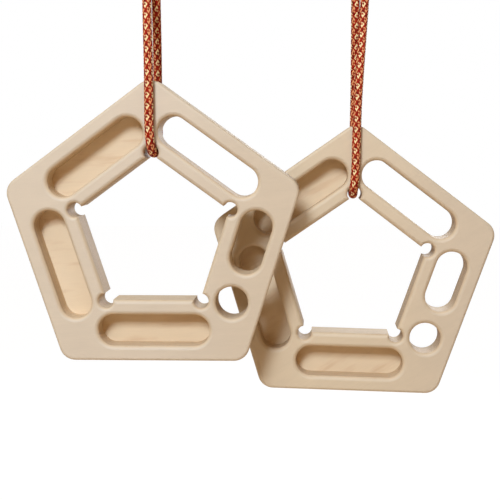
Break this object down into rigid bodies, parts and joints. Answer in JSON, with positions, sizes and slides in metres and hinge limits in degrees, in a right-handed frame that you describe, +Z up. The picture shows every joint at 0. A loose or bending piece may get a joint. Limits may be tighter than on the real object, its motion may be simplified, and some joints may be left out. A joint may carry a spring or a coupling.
{
  "type": "portable hangboard pair",
  "caption": "Pair of pentagonal plywood hangboards for finger training, with slots, pockets and a one-finger hole, each hung on a doubled cord through a corner notch.",
  "frame": {"origin": "where the left board's cord loop bears on its hook: the inside of the top of the loop, on the middle plane of the left board's thickness", "axes": "+X to the right seen from the front, +Y from the front faces to the back faces, +Z up along the hanging cord"},
  "size_m": [0.3808, 0.1015, 0.447],
  "materials": {
    "face_veneer": "fine sanded, unvarnished",
    "core_veneer": "machined and sanded edge of plywood",
    "cord": "braided polyester sheath, red with cream flecks"
  },
  "bodies": {
    "cords": {"left_cord": "cord", "left_knot": "cord", "left_hang_loop": "cord", "right_cord": "cord", "right_knot": "cord", "right_hang_loop": "cord"},
    "left_board": {"left_front_ply": "face_veneer", "left_core_ply_1": "core_veneer", "left_core_ply_2": "core_veneer", "left_core_ply_3": "core_veneer", "left_back_ply": "face_veneer"},
    "right_board": {"right_front_ply": "face_veneer", "right_core_ply_1": "core_veneer", "right_core_ply_2": "core_veneer", "right_core_ply_3": "core_veneer", "right_back_ply": "face_veneer"}
  },
  "joints": [
    {"name": "left_board_turn", "type": "hinge", "parent": "cords", "child": "left_board", "pos_m": [0, 0, -0.2425], "axis": [0, 1, 0], "range_deg": [-45, 45]},
    {"name": "right_board_turn", "type": "hinge", "parent": "cords", "child": "right_board", "pos_m": [0.15626, 0.0525, -0.27753], "axis": [0, 1, 0], "range_deg": [-45, 45]}
  ]
}
